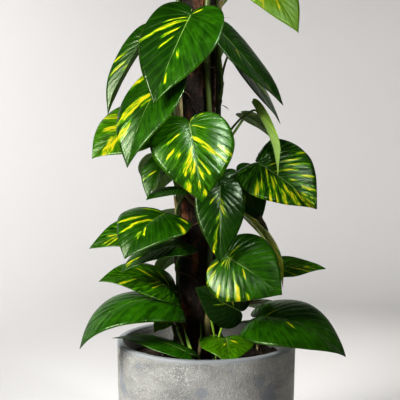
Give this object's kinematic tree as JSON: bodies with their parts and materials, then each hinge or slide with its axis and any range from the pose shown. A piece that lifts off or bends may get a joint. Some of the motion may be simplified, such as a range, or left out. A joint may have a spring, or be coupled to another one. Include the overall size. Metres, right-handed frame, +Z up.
{
  "type": "golden pothos on a coir pole in a round concrete pot",
  "caption": "Climbing house plant with variegated heart-shaped leaves, its leafy stems rising round a coir pole that stands in a soil-filled round pot.",
  "frame": {"origin": "centre of the pot's flat underside", "axes": "+Z up along the pot's axis, -Y towards the viewer of the front, +X to that viewer's right"},
  "size_m": [0.3666, 0.2863, 0.8521],
  "materials": {
    "concrete": "pale grey concrete, matt and finely pitted, with soft bluish blotches",
    "soil": "dark crumbly potting soil",
    "wood": "plain sawn softwood",
    "coir": "rough dark brown coconut fibre",
    "leaf": "waxy green leaf with yellow streaks, paler and matt beneath"
  },
  "bodies": {
    "root": {"pot": "concrete", "soil": "soil", "pole_stake": "wood", "pole_coir": "coir", "vine_left": "leaf", "vine_front": "leaf", "vine_right": "leaf", "vine_back_right": "leaf", "vine_back_left": "leaf"}
  },
  "joints": []
}
